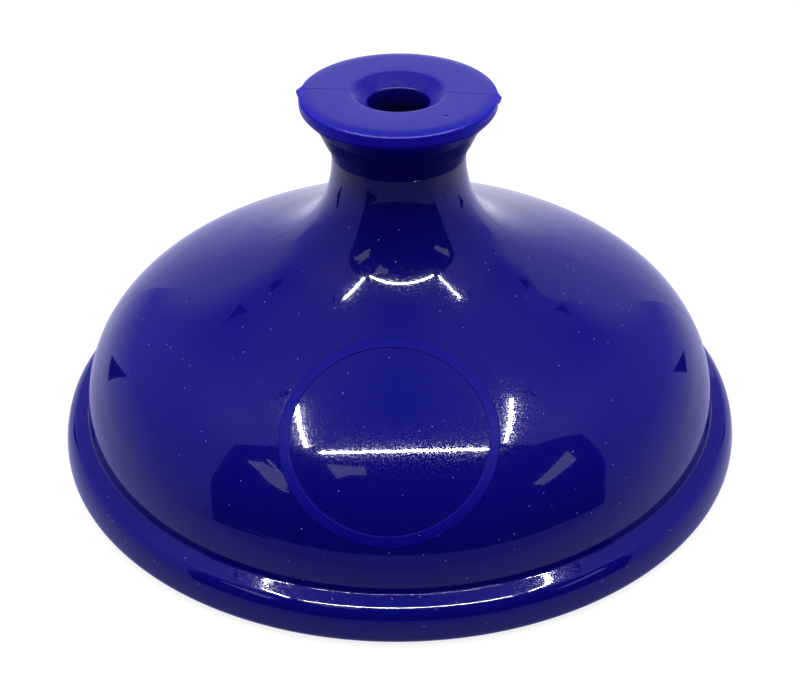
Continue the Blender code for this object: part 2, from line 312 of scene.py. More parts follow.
def cup_outline(cup):
    round_centre = (cup.neck_radius - NECK_EDGE_ROUND, cup.neck_height - NECK_EDGE_ROUND)
    neck_top = arc(round_centre, NECK_EDGE_ROUND, 90.0, 0.0)
    outside = neck_top[:-1] + wall_line(cup, 0.0)
    foot = [Vector((cup.radius, cup.foot)), Vector((cup.radius - cup.wall, cup.foot))]
    socket = cup.neck_radius - cup.neck_wall
    ledge = cup.neck_height - cup.socket_depth
    below_ledge = [p for p in wall_line(cup, -cup.wall) if p.y < ledge - SOCKET_LEDGE_ROUND]
    inside = [p for p in below_ledge if p.x > socket + SOCKET_LEDGE_ROUND]
    lip_centre = (socket + SOCKET_LEDGE_ROUND, ledge + SOCKET_LEDGE_ROUND)
    lip = arc(lip_centre, SOCKET_LEDGE_ROUND, 270.0, 180.0)
    return outside + foot + inside[::-1] + lip + [Vector((socket, cup.neck_height))]


def soften(corner, before, after, reach, steps=4):
    """Points of a rounded corner that starts and ends at reach from the corner."""
    start = corner + (before - corner).normalized() * reach
    end = corner + (after - corner).normalized() * reach
    shares = [i / steps for i in range(steps + 1)]
    return [start * (1.0 - t) ** 2 + corner * (2.0 * t * (1.0 - t)) + end * t**2 for t in shares]


def softened(points, reach):
    """An open line with all its inner corners rounded."""
    line = [points[0]]
    for before, corner, after in zip(points, points[1:], points[2:]):
        line += soften(corner, before, after, reach)
    return line + [points[-1]]


def bead_outline(cup, rim):
    """The bead from the hollow round that meets the cup's wall, over its top and side, to its foot."""
    side_centre = Vector((rim.radius - rim.side_round, rim.foot_round))
    side = arc(side_centre, rim.side_round, degrees(rim.side_lean), 0.0, 14)
    lean = Vector((cos(rim.side_lean), sin(rim.side_lean)))
    shoulder_centre = side[0] - lean * rim.shoulder_round
    shoulder = arc(shoulder_centre, rim.shoulder_round, degrees(rim.top_lean), degrees(rim.side_lean), 24)
    seam_x = cup.radius + rim.seam_round
    slope_end = seam_x - rim.seam_round * cos(rim.top_lean)
    slope_height = shoulder[0].y + (shoulder[0].x - slope_end) / tan(rim.top_lean)
    seam_centre = (seam_x, slope_height + rim.seam_round * sin(rim.top_lean))
    lip_deg = degrees(acos(1.0 - SEAM_GAP / rim.seam_round))
    seam = arc(seam_centre, rim.seam_round, 180.0 + lip_deg, 180.0 + degrees(rim.top_lean), 10)
    foot = arc((rim.radius - rim.foot_round, rim.foot_round), rim.foot_round, 0.0, -90.0, 16)
    return seam + shoulder + side[1:] + foot[1:]


def rim_outline(cup, rim):
    channel_out = cup.radius + SEAT_GAP
    channel_in = cup.radius - cup.wall - SEAT_GAP
    lip_in = channel_in - rim.lip_thickness
    inner_foot = arc((lip_in + LIP_FOOT_ROUND, LIP_FOOT_ROUND), LIP_FOOT_ROUND, 270.0, 180.0)
    crest = rim.lip_thickness / 2.0
    lip = arc((lip_in + crest, rim.lip_height - crest), crest, 180.0, 0.0, 12)
    bead = bead_outline(cup, rim)
    step = bead[0].y - SEAT_GAP
    channel = [Vector((channel_in, rim.floor)), Vector((channel_out, rim.floor)),
               Vector((channel_out, step - SEAT_GAP)), Vector((bead[0].x, step))]
    return bead + inner_foot + lip + channel


def flange_edge(knob, top):
    """The flange's top where it falls away to its edge: a wide round, then a small one down to the side."""
    turn_out = Vector((cos(knob.top_lean), sin(knob.top_lean)))
    small_centre = Vector((knob.radius - knob.edge_round, top - knob.edge_round))
    small = arc(small_centre, knob.edge_round, degrees(knob.top_lean), 0.0, 10)
    wide_centre = small[0] - turn_out * knob.top_round
    return arc(wide_centre, knob.top_round, 90.0, degrees(knob.top_lean), 8) + small[1:]


def knob_outline(cup, knob):
    top = knob.crown_height - knob.crown
    rim = Vector((knob.recess_radius, knob.crown_height))
    mouth = Vector((knob.bore_radius, top - knob.recess_depth))
    fall = degrees(atan2(rim.y - mouth.y, rim.x - mouth.x))
    lip_centre = mouth + Vector((BORE_LIP_ROUND, -BORE_LIP_ROUND))
    lip = arc(lip_centre, BORE_LIP_ROUND, 180.0, 90.0 + fall)
    edge = flange_edge(knob, top)
    recess = softened([lip[-1], rim, edge[0]], RECESS_ROUND)
    low_centre = Vector((knob.radius - knob.low_round, top - knob.edge))
    under_end = Vector((knob.radius - knob.underside_inset, top - knob.underside_drop))
    reach = under_end - low_centre
    under_deg = degrees(atan2(reach.y, reach.x) + acos(knob.low_round / reach.length))
    under = arc(low_centre, knob.low_round, 0.0, under_deg, 12)
    foot_radius = cup.neck_radius - knob.collar_inset
    step = Vector((foot_radius + knob.collar_flare, cup.neck_height + knob.collar_rise))
    step_low = step - Vector((knob.collar_step, knob.collar_step))
    foot = Vector((foot_radius, cup.neck_height + SEAM_GAP))
    collar = softened([under[-1], under_end, step, step_low, foot], knob.collar_step * 0.4)
    spigot_radius = cup.neck_radius - cup.neck_wall - SEAT_GAP
    lead = knob.lead_in * tan(knob.lead_angle)
    spigot = [
        Vector((spigot_radius, cup.neck_height + SEAM_GAP)),
        Vector((spigot_radius, knob.spigot_end + knob.lead_in)),
        Vector((spigot_radius - lead, knob.spigot_end)),
        Vector((knob.bore_radius + BORE_LIP_ROUND, knob.spigot_end)),
        Vector((knob.bore_radius, knob.spigot_end + BORE_LIP_ROUND)),
    ]
    return lip[:-1] + recess[:-1] + edge + under + collar[1:] + spigot


def draw_path(name, points):
    """Draws an open line through points: a small square merged to one corner, then extruded."""
    deselect()
    bpy.ops.mesh.primitive_plane_add(size=MM, location=points[0])
    piece = name_piece(name)
    bpy.ops.object.mode_set(mode="EDIT")
    bpy.ops.mesh.merge(type="CENTER")
    for first, second in zip(points, points[1:]):
        move = Vector(second) - Vector(first)
        bpy.ops.mesh.extrude_vertices_move(TRANSFORM_OT_translate={"value": move})
    bpy.ops.object.mode_set(mode="OBJECT")
    bpy.ops.object.transform_apply(location=True, rotation=True, scale=True)
    return piece


def draw_line(name, points):
    """Draws (radius, height) points in the XZ plane."""
    return draw_path(name, [(point[0], 0.0, point[1]) for point in points])


def spin_line(piece, steps):
    """Turns a drawn line once round the Z axis into a closed skin with its faces outwards."""
    bpy.ops.object.mode_set(mode="EDIT")
    bpy.ops.mesh.select_all(action="SELECT")
    bpy.ops.mesh.remove_doubles(threshold=WELD)
    bpy.ops.mesh.spin(steps=steps, angle=2.0 * pi, center=(0.0, 0.0, 0.0), axis=(0.0, 0.0, 1.0))
    bpy.ops.mesh.select_all(action="SELECT")
    bpy.ops.mesh.remove_doubles(threshold=WELD)
    bpy.ops.mesh.normals_make_consistent(inside=False)
    bpy.ops.object.mode_set(mode="OBJECT")
    return piece


def turned(name, outline, steps):
    return spin_line(draw_line(name, outline + outline[:1]), steps)


def apply_modifiers(piece):
    for modifier in piece.modifiers[:]:
        bpy.ops.object.modifier_apply(modifier=modifier.name)


def finish_piece(piece, body, material, replaced=None):
    """Puts the piece's place in its mesh, shades it, and hands it to its body and material slot."""
    deselect()
    piece.select_set(True)
    bpy.context.view_layer.objects.active = piece
    bpy.ops.object.transform_apply(location=True, rotation=True, scale=True)
    bpy.ops.object.shade_smooth_by_angle(angle=SHARP_ANGLE)
    piece.data.materials.clear()
    piece.data.materials.append(material)
    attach(piece, body)
    if replaced:
        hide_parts(replaced)
    return piece


def wall_ridge(name, line, azimuth, radius):
    """A thin moulding ridge along a line on the wall: a round bead that lies mostly under the surface."""
    ridge = draw_line(name, line)
    bpy.ops.object.convert(target="CURVE")
    ridge = bpy.context.object
    ridge.data.bevel_depth = radius
    ridge.data.bevel_resolution = 2
    ridge.data.use_fill_caps = True
    bpy.ops.object.convert(target="MESH")
    ridge = bpy.context.object
    ridge.rotation_euler = (0.0, 0.0, azimuth)
    return ridge


def flash_nib(name, knob, azimuth):
    """A small wedge of flash on the flange's side: a three-sided prism, narrower below, with soft edges."""
    corner = knob.nib_depth / (1.0 + cos(pi / 3.0))
    upper = knob.crown_height - knob.crown - knob.edge_round * NIB_DROP
    lower = upper - knob.nib_height
    radius = knob.radius + knob.nib_reach - corner
    place = (radius * cos(azimuth), radius * sin(azimuth), (upper + lower) / 2.0)
    deselect()
    bpy.ops.mesh.primitive_cone_add(vertices=3, radius1=corner * NIB_TAPER, radius2=corner,
                                    depth=upper - lower, location=place,
                                    rotation=(0.0, 0.0, azimuth - pi / 2.0),
                                    scale=(NIB_STRETCH, 1.0, 1.0))
    nib = name_piece(name)
    bpy.ops.object.transform_apply(location=False, rotation=False, scale=True)
    bpy.ops.object.mode_set(mode="EDIT")
    bpy.ops.mesh.select_all(action="SELECT")
    bpy.ops.mesh.bevel(offset=knob.nib_height * NIB_SOFTNESS, segments=3, affect="EDGES")
    bpy.ops.object.mode_set(mode="OBJECT")
    return nib


def new_material(name, base):
    material = bpy.data.materials.new(name)
    material.use_nodes = True
    material.diffuse_color = base
    tree = material.node_tree
    shader = tree.nodes["Principled BSDF"]
    shader.inputs["Base Color"].default_value = base
    return material, tree, shader


def add_node(tree, kind, inputs=(), **settings):
    """Adds a node. An input's value is a plain value, or the socket that it is linked to."""
    node = tree.nodes.new(kind)
    for key, value in settings.items():
        setattr(node, key, value)
    for key, value in dict(inputs).items():
        if isinstance(value, bpy.types.NodeSocket):
            tree.links.new(value, node.inputs[key])
        else:
            node.inputs[key].default_value = value
    return node


def map_range(tree, value, low, high, to_low, to_high):
    node = add_node(tree, "ShaderNodeMapRange", {"Value": value, "From Min": low, "From Max": high,
                                                 "To Min": to_low, "To Max": to_high})
    return node.outputs["Result"]


def calculate(tree, operation, *values):
    return add_node(tree, "ShaderNodeMath", dict(enumerate(values)), operation=operation).outputs[0]


def object_axes(tree):
    """The X, Y and Z of a point on the object."""
    place = add_node(tree, "ShaderNodeTexCoord").outputs["Object"]
    return add_node(tree, "ShaderNodeSeparateXYZ", {0: place}).outputs


def distance(tree, place, centre):
    node = add_node(tree, "ShaderNodeVectorMath", {0: place, 1: centre}, operation="DISTANCE")
    return node.outputs["Value"]


def mix_shader(tree, factor, first, second):
    return add_node(tree, "ShaderNodeMixShader", {0: factor, 1: first.outputs[0], 2: second.outputs[0]})


def mix_colour(tree, factor, first, second):
    node = add_node(tree, "ShaderNodeMix", data_type="RGBA")
    for socket, value in ((node.inputs[0], factor), (node.inputs[6], first), (node.inputs[7], second)):
        if isinstance(value, bpy.types.NodeSocket):
            tree.links.new(value, socket)
        else:
            socket.default_value = value
    return node.outputs[2]


def noise(tree, place, scale, detail=2.0, roughness=0.5):
    node = add_node(tree, "ShaderNodeTexNoise", {"Vector": place, "Scale": scale, "Detail": detail,
                                                 "Roughness": roughness})
    return node.outputs["Fac"]


def dust_mask(tree, place, scale, speck):
    """1 on small specks: the surface's cuts through scattered balls of radius speck."""
    cells = add_node(tree, "ShaderNodeTexVoronoi", {"Vector": place, "Scale": scale})
    return map_range(tree, cells.outputs["Distance"], speck * scale * 0.7, speck * scale, 1.0, 0.0)


def mottled(tree, base, pattern, darkest, lightest):
    """The base colour, from darkest to lightest as the pattern goes from 0 to 1."""
    darker = [c * darkest for c in base[:3]] + [1.0]
    lighter = [min(1.0, c * lightest) for c in base[:3]] + [1.0]
    return mix_colour(tree, pattern, darker, lighter)


def gloss_rubber(name, base, finish):
    """Glossy moulded rubber: a fine mottling in its roughness, a faint waviness, a few specks of dust, and
    painted shade on the neck under the knob.
    """
    material, tree, shader = new_material(name, base)
    place = add_node(tree, "ShaderNodeTexCoord").outputs["Object"]
    dust = dust_mask(tree, place, GLOSS_DUST_SCALE, GLOSS_DUST_SPECK)
    smudge = noise(tree, place, GLOSS_SMUDGE_SCALE, 2.0, 0.6)
    pigment = mottled(tree, base, noise(tree, place, GLOSS_PIGMENT_SCALE, 3.0), 0.93, 1.06)
    height = add_node(tree, "ShaderNodeSeparateXYZ", {0: place}).outputs["Z"]
    # Painted shade: the neck darkens towards the knob, where the flange shades it
    neck_shade_mask = map_range(tree, height, NECK_SHADE_START, NECK_SHADE_END, 0.0, 0.5)
    pigment = mix_colour(tree, neck_shade_mask, pigment, NECK_SHADE)
    tree.links.new(mix_colour(tree, dust, pigment, finish.dust[:]), shader.inputs["Base Color"])
    specked = map_range(tree, smudge, 0.50, 0.70, finish.gloss_roughness, finish.speck_roughness)
    rough = add_node(tree, "ShaderNodeMix", {0: dust, 2: specked, 3: DUST_ROUGHNESS})
    tree.links.new(rough.outputs[0], shader.inputs["Roughness"])
    wave = add_node(tree, "ShaderNodeBump", {"Height": noise(tree, place, GLOSS_WAVE_SCALE, 1.0),
                                             "Strength": 1.0, "Distance": GLOSS_WAVE_HEIGHT})
    tree.links.new(wave.outputs["Normal"], shader.inputs["Normal"])
    shader.inputs["IOR"].default_value = RUBBER_IOR
    return material


def satin_rubber(name, base, roughness, gloss, finish):
    """Satin moulded rubber: a fine grain, a slight mottle and a few specks of dust."""
    material, tree, shader = new_material(name, base)
    place = add_node(tree, "ShaderNodeTexCoord").outputs["Object"]
    dust = dust_mask(tree, place, SATIN_DUST_SCALE, SATIN_DUST_SPECK)
    pigment = mottled(tree, base, noise(tree, place, SATIN_PIGMENT_SCALE, 5.0, 0.65), 0.92, 1.08)
    tree.links.new(mix_colour(tree, dust, pigment, finish.dust[:]), shader.inputs["Base Color"])
    smudge = noise(tree, place, SATIN_SMUDGE_SCALE, 3.0)
    rough = map_range(tree, smudge, 0.3, 0.7, roughness - 0.05, roughness + 0.06)
    tree.links.new(rough, shader.inputs["Roughness"])
    grain = add_node(tree, "ShaderNodeBump", {"Height": noise(tree, place, SATIN_GRAIN_SCALE, 2.0),
                                              "Strength": 0.35, "Distance": SATIN_GRAIN_HEIGHT})
    tree.links.new(grain.outputs["Normal"], shader.inputs["Normal"])
    shader.inputs["IOR"].default_value = RUBBER_IOR
    shader.inputs["Specular IOR Level"].default_value = gloss
    return material


def tint(material, factor, shade):
    """Multiplies the material's pigment by the colour shade where factor is 1."""
    tree = material.node_tree
    colour_in = tree.nodes["Principled BSDF"].inputs["Base Color"]
    source = colour_in.links[0].from_socket
    shade = mix_colour(tree, factor, (1.0, 1.0, 1.0, 1.0), shade + (1.0,))
    node = add_node(tree, "ShaderNodeMix", {0: 1.0, 6: source, 7: shade}, data_type="RGBA",
                    blend_type="MULTIPLY")
    tree.links.new(node.outputs[2], colour_in)


def bump(tree, shader, height, depth):
    """Adds a bump of the given depth on top of the shader's grain."""
    grain = shader.inputs["Normal"].links[0].from_socket
    node = add_node(tree, "ShaderNodeBump", {"Height": height, "Strength": 1.0, "Distance": depth,
                                             "Normal": grain})
    tree.links.new(node.outputs["Normal"], shader.inputs["Normal"])


def marks_and_painted_light(material, knob):
    """The knob's moulding marks, a parting line over its top and a small dent, and a painted glow that makes
    its side a brighter, deeper blue.

    Painted shade makes its collar, under the flange, and its bore darker than the rest.
    """
    tree = material.node_tree
    shader = tree.nodes["Principled BSDF"]
    place = add_node(tree, "ShaderNodeTexCoord").outputs["Object"]
    axes = add_node(tree, "ShaderNodeSeparateXYZ", {0: place}).outputs
    flat = add_node(tree, "ShaderNodeCombineXYZ", {"X": axes["X"], "Y": axes["Y"]}).outputs[0]
    from_axis = add_node(tree, "ShaderNodeVectorMath", {0: flat}, operation="LENGTH").outputs["Value"]
    turned_place = add_node(tree, "ShaderNodeVectorRotate", {"Vector": place, "Angle": -knob.mould_turn},
                            rotation_type="Z_AXIS")
    across = add_node(tree, "ShaderNodeSeparateXYZ", {0: turned_place.outputs[0]}).outputs["Y"]
    bump(tree, shader, map_range(tree, across, -PARTING_REACH, 0.10 * MM, 0.0, 1.0), PARTING_STEP)
    beside = calculate(tree, "ABSOLUTE", across)
    tint(material, map_range(tree, beside, PARTING_CORE, PARTING_REACH, 0.6, 0.0), (0.3, 0.3, 0.3))
    away = distance(tree, place, DENT_PLACE)
    dent = map_range(tree, away, 0.15 * MM, 0.80 * MM, 0.0, 1.0)
    bump(tree, shader, dent, DENT_DEPTH)
    tint(material, map_range(tree, away, 0.30 * MM, 0.90 * MM, 1.0, 0.0), (0.7, 0.7, 0.7))
    crown = knob.crown_height
    # Painted shade: the collar under the flange is darkened
    collar = map_range(tree, axes["Z"], crown - COLLAR_SHADE_START, crown - COLLAR_SHADE_END, 0.0, 1.0)
    tint(material, collar, (0.5, 0.5, 0.42))
    # Painted glow: the flange's side is painted a brighter, deeper blue
    side = map_range(tree, from_axis, knob.radius - SIDE_GLOW_START, knob.radius - SIDE_GLOW_END, 0.0, 1.0)
    tint(material, side, (1.0, 0.5, 1.5))
    # Painted shade: the bore is darkened, more so deeper down
    wall = knob.bore_radius
    bore_shade_mask = map_range(tree, from_axis, wall + 0.35 * MM, wall + 0.02 * MM, 0.0, 1.0)
    depth = map_range(tree, axes["Z"], crown - BORE_SHADE_START, crown - BORE_SHADE_END, 0.3, 1.0)
    tint(material, calculate(tree, "MULTIPLY", bore_shade_mask, depth), (0.3, 0.3, 0.3))


class MUTE_OT_cup(bpy.types.Operator):
    """Model the hollow cup with its flared neck"""

    bl_idname = "mute.cup"
    bl_label = "Cup"

    def execute(self, context):
        cup, finish = context.scene.mute_cup, context.scene.mute_finish
        piece = turned("cup_body", cup_outline(cup), cup.turn_steps)
        finish_piece(piece, "cup", gloss_rubber("cup_gloss", finish.cup_blue, finish), "cup_shell")
        return {"FINISHED"}


class MUTE_OT_mould_lines(bpy.types.Operator):
    """Lay the thin ridges where the cup's mould parts"""

    bl_idname = "mute.mould_lines"
    bl_label = "Mould lines"

    def execute(self, context):
        below_neck, above_foot = 4, -2
        line = wall_line(context.scene.mute_cup, -RIDGE_SINK)[below_neck:above_foot]
        material = bpy.data.materials["cup_gloss"]
        for name, azimuth in (("mould_line_left", 176.25), ("mould_line_right", 4.0)):
            ridge = wall_ridge(name, line, radians(azimuth), RIDGE_RADIUS)
            finish_piece(ridge, "cup", material)
        return {"FINISHED"}


class MUTE_OT_badge(bpy.types.Operator):
    """Lay the bare raised ring on the front of the cup"""

    bl_idname = "mute.badge"
    bl_label = "Badge ring"

    def execute(self, context):
        cup, badge, finish = context.scene.mute_cup, context.scene.mute_badge, context.scene.mute_finish
        wall = wall_line(cup, 0.0)
        above, below = next(pair for pair in zip(wall, wall[1:]) if pair[0].y >= badge.height > pair[1].y)
        middle = above.lerp(below, (above.y - badge.height) / (above.y - below.y))
        lean = pi / 2.0 - badge.tilt
        outwards = Vector((0.0, -sin(lean), cos(lean)))
        start = Vector((0.0, -middle.x, middle.y)) + outwards * badge.radius
        deselect()
        inner = badge.radius - badge.line
        bpy.ops.mesh.primitive_circle_add(vertices=badge.steps, radius=inner, location=start,
                                          rotation=(lean, 0.0, 0.0))
        piece = name_piece("badge_ring")
        bpy.ops.object.mode_set(mode="EDIT")
        bpy.ops.mesh.select_all(action="SELECT")
        rings = 6
        for i in range(rings):
            grow = (inner + badge.line * (i + 1) / rings) / (inner + badge.line * i / rings)
            bpy.ops.mesh.extrude_edges_move()
            bpy.ops.transform.resize(value=(grow, grow, grow), center_override=start)
        bpy.ops.object.mode_set(mode="OBJECT")
        # The thickness below is laid along the faces' normals, so they have to point out of the wall
        if piece.data.polygons[0].normal.z < 0.0:
            bpy.ops.object.mode_set(mode="EDIT")
            bpy.ops.mesh.select_all(action="SELECT")
            bpy.ops.mesh.flip_normals()
            bpy.ops.object.mode_set(mode="OBJECT")
        wrap = piece.modifiers.new("lay on the wall", "SHRINKWRAP")
        wrap.wrap_method = "PROJECT"
        wrap.use_project_z = True
        wrap.use_positive_direction = False
        wrap.use_negative_direction = True
        wrap.target = bpy.data.objects["cup_body"]
        solid = piece.modifiers.new("thickness", "SOLIDIFY")
        solid.thickness = badge.rise + badge.root
        solid.offset = 2.0 * badge.rise / solid.thickness - 1.0
        edge = piece.modifiers.new("rounded edges", "BEVEL")
        edge.width = badge.edge
        edge.segments = 4
        edge.limit_method = "ANGLE"
        edge.angle_limit = radians(60.0)
        apply_modifiers(piece)
        satin = satin_rubber("badge_satin", finish.badge_blue, finish.badge_roughness, BADGE_GLOSS, finish)
        finish_piece(piece, "cup", satin)
        return {"FINISHED"}


class MUTE_OT_rim(bpy.types.Operator):
    """Model the rim ring: its bead, floor, lip and channel"""

    bl_idname = "mute.rim"
    bl_label = "Rim ring"

    def execute(self, context):
        cup, rim, finish = context.scene.mute_cup, context.scene.mute_rim, context.scene.mute_finish
        piece = turned("rim_bead", rim_outline(cup, rim), rim.turn_steps)
        finish_piece(piece, "cup", gloss_rubber("rim_gloss", finish.rim_blue, finish), "rim_ring")
        return {"FINISHED"}


class MUTE_OT_knob(bpy.types.Operator):
    """Model the finger knob with its recess, air hole, collar, spigot and flash nibs"""

    bl_idname = "mute.knob"
    bl_label = "Finger knob"

    def execute(self, context):
        cup, knob, finish = context.scene.mute_cup, context.scene.mute_knob, context.scene.mute_finish
        piece = turned("finger_knob", knob_outline(cup, knob), knob.turn_steps)
        material = satin_rubber("knob_satin", finish.knob_blue, finish.satin_roughness, KNOB_GLOSS, finish)
        marks_and_painted_light(material, knob)
        finish_piece(piece, "knob", material, "knob_plug")
        for name, azimuth in (("flash_nib_right", knob.mould_turn), ("flash_nib_left", knob.mould_turn + pi)):
            finish_piece(flash_nib(name, knob, azimuth), "knob", material)
        return {"FINISHED"}


def glowing(name, radiance):
    """A plain emission material whose light is never sampled by itself."""
    material = bpy.data.materials.new(name)
    material.use_nodes = True
    tree = material.node_tree
    tree.nodes.remove(tree.nodes["Principled BSDF"])
    glow = add_node(tree, "ShaderNodeEmission", {"Color": (1.0, 1.0, 1.0, 1.0), "Strength": radiance})
    tree.links.new(glow.outputs["Emission"], tree.nodes["Material Output"].inputs["Surface"])
    material.cycles.emission_sampling = "NONE"
    return material, tree, glow


def only_in_reflections(obj):
    obj.visible_camera = False
    obj.visible_diffuse = False
    obj.visible_shadow = False
    obj.visible_transmission = False


def tent_panel(name, corners, material):
    """A flat panel with the given corners, seen only in the object's gloss."""
    panel = draw_path(name, corners)
    bpy.ops.object.mode_set(mode="EDIT")
    bpy.ops.mesh.select_all(action="SELECT")
    bpy.ops.mesh.edge_face_add()
    bpy.ops.object.mode_set(mode="OBJECT")
    panel.data.materials.append(material)
    only_in_reflections(panel)
    return panel


def cloth_glow(tree):
    """The tent's glow: the floor's sheen low down, brighter to the back, fades to the blue cloth above."""
    axes = object_axes(tree)
    depth, height = axes["Y"], axes["Z"]
    low = mix_colour(tree, map_range(tree, depth, -0.12, 0.06, 0.0, 1.0), (0.17, 0.17, 0.75, 1.0),
                     (0.72, 0.72, 1.10, 1.0))
    high = mix_colour(tree, map_range(tree, depth, 0.02, 0.14, 0.0, 1.0), (0.25, 0.25, 1.05, 1.0),
                      (0.19, 0.19, 0.80, 1.0))
    glow = mix_colour(tree, map_range(tree, height, 0.0, 0.060, 0.0, 1.0), low, high)
    aside = calculate(tree, "ABSOLUTE", axes["X"])
    folded = add_node(tree, "ShaderNodeCombineXYZ", {"X": aside, "Y": depth, "Z": height}).outputs[0]
    for centre, reach, hue in CLOTH_SPOTS:
        spot = map_range(tree, distance(tree, folded, centre), reach * 0.15, reach, 1.0, 0.0)
        glow = mix_colour(tree, spot, glow, hue + (1.0,))
    return glow


def rear_glow(tree):
    """The tent's rear: white in the middle, where the light bounces back, dimmer to the sides and above."""
    axes = object_axes(tree)
    middle = map_range(tree, calculate(tree, "ABSOLUTE", axes["X"]), 0.035, 0.080, 1.0, 0.0)
    cloth = mix_colour(tree, map_range(tree, axes["Z"], 0.020, 0.085, 0.0, 1.0), (0.65, 0.65, 1.05, 1.0),
                       (0.40, 0.39, 0.82, 1.0))
    return mix_colour(tree, middle, cloth, (1.0, 1.0, 1.15, 1.0))


def light_bar(name, start, end, width, radiance):
    """A narrow light between two points that shines down at the cup."""
    start, end = Vector(start), Vector(end)
    along = (end - start).normalized()
    back = (start + end) / 2.0 - Vector((0.0, 0.0, BAR_AIM))
    back = (back - along * back.dot(along)).normalized()
    across = back.cross(along)
    deselect()
    bpy.ops.object.light_add(type="AREA", location=(start + end) / 2.0)
    bar = name_piece(name)
    bar.rotation_mode = "QUATERNION"
    bar.rotation_quaternion = Matrix((along, across, back)).transposed().to_quaternion()
    bar.data.shape = "RECTANGLE"
    bar.data.size = (end - start).length
    bar.data.size_y = width
    bar.data.energy = radiance * pi * bar.data.size * width
    bar.visible_camera = False
    bar.visible_diffuse = False
    return bar


def make_tent():
    """The tent's cloth: two walls with curved front edges, a top and a rear."""
    cloth, tree, glow = glowing("tent_cloth", 1.0)
    tree.links.new(cloth_glow(tree), glow.inputs["Color"])
    bright, tree, glow = glowing("tent_rear", 1.0)
    tree.links.new(rear_glow(tree), glow.inputs["Color"])
    side, rear, top, sill = TENT_SIDE, TENT_REAR, TENT_TOP, TENT_SILL
    left_edge = [(-0.079, top), (-0.074, 0.190), (-0.069, 0.160), (-0.082, 0.129), (-0.090, 0.111),
                 (-0.101, 0.074), (-0.108, 0.054), (-0.117, 0.032), (-0.124, sill)]
    right_edge = [(-0.070, top), (-0.053, 0.179), (-0.041, 0.140), (-0.054, 0.105), (-0.058, 0.091),
                  (-0.069, 0.063), (-0.081, 0.041), (-0.091, sill)]
    for name, x, edge in (("tent_left", -side, left_edge), ("tent_right", side, right_edge)):
        tent_panel(name, [(x, y, z) for y, z in [(rear, sill), (rear, top)] + edge], cloth)
    front_left, front_right = left_edge[0][0], right_edge[0][0]
    tent_panel("tent_top", [(-side, rear, top), (side, rear, top), (side, front_right, top),
                            (-side, front_left, top)], cloth)
    tent_panel("tent_rear", [(-side, rear, sill), (side, rear, sill), (side, rear, top),
                             (-side, rear, top)], bright)


def make_hems():
    """Pale flaps and seams of the tent's front, each a step above the one before."""
    strip = glowing("tent_hem", 1.8)[0]
    band = glowing("tent_band", 1.1)[0]
    hems = {
        "hem_band": (band, [(-0.186, -0.118), (-0.163, -0.119), (-0.135, -0.170), (-0.183, -0.231),
                            (-0.193, -0.189)]),
        "hem_edge": (strip, [(-0.192, -0.118), (-0.184, -0.118), (-0.172, -0.231), (-0.183, -0.231)]),
        "hem_inner": (strip, [(-0.153, -0.112), (-0.148, -0.112), (-0.144, -0.164), (-0.149, -0.164)]),
        "hem_right": (band, [(0.217, -0.082), (0.274, -0.108), (0.266, -0.205), (0.226, -0.197)]),
        "hem_middle": (band, [(-0.073, -0.116), (-0.052, -0.121), (-0.032, -0.122), (-0.032, -0.143),
                              (-0.050, -0.144), (-0.069, -0.157)]),
    }
    for i, (name, (material, corners)) in enumerate(hems.items()):
        step_up = TENT_TOP + (i + 1) * 0.5 * MM
        tent_panel(name, [(x, y, step_up) for x, y in corners], material)


def make_light_bars(stage):
    """Three bars under the tent's top: one across its front and one along each side."""
    bars = {
        "bar_front": ((-0.0686, -0.0886, 0.1949), (0.0846, -0.0772, 0.1923)),
        "bar_left": ((-0.0807, -0.0783, 0.1968), (-0.0853, -0.0169, 0.2061)),
        "bar_right": ((0.0949, -0.0652, 0.1938), (0.0903, -0.0035, 0.2031)),
    }
    for name, (start, end) in bars.items():
        light_bar(name, start, end, stage.bar_width, stage.bar_radiance)


def make_dark_room():
    """Black cloth round the tent and beyond the floor sheet, so that the tent's open front reflects dark."""
    black_glow, room_size = 0.012, 2.4
    material = glowing("black_cloth", black_glow)[0]
    deselect()
    bpy.ops.mesh.primitive_cube_add(size=room_size, location=(0.0, 0.0, 1.0))
    room = name_piece("black_room")
    bpy.ops.object.transform_apply(location=True, rotation=True, scale=True)
    room.data.materials.append(material)
    only_in_reflections(room)
    sheet_edge = [(-1.0, -0.110), (-0.132, -0.110), (-0.128, -0.150), (-0.118, -0.175), (-0.116, -0.195),
                  (-0.150, -0.208), (-0.240, -0.216), (-0.200, -0.240), (0.044, -0.262), (0.264, -0.215),
                  (0.255, -0.158), (0.248, -0.060), (1.0, -0.060), (1.0, -1.2), (-1.0, -1.2)]
    tent_panel("black_floor", [(x, y, 0.5 * MM) for x, y in sheet_edge], material)
    ceiling = TENT_TOP - 0.5 * MM
    gaps = {
        "gap_left": [(-0.130, 0.045, 0.022), (-0.130, 0.017, 0.046), (-0.130, 0.025, 0.016)],
        "gap_right": [(0.130, 0.058, 0.029), (0.130, 0.030, 0.046), (0.130, 0.037, 0.024)],
        "corner_left": [(-0.144, 0.090, 0.156), (-0.144, 0.110, 0.160), (-0.144, 0.100, 0.176)],
        "corner_right": [(0.144, 0.116, 0.166), (0.144, 0.134, 0.170), (0.144, 0.124, 0.188)],
        "fitting_left": [(-0.111, -0.005, ceiling), (-0.092, -0.003, ceiling), (-0.099, 0.003, ceiling)],
        "fitting_right": [(0.103, 0.009, ceiling), (0.122, 0.008, ceiling), (0.111, 0.015, ceiling)],
    }
    for name, corners in gaps.items():
        tent_panel(name, corners, material)


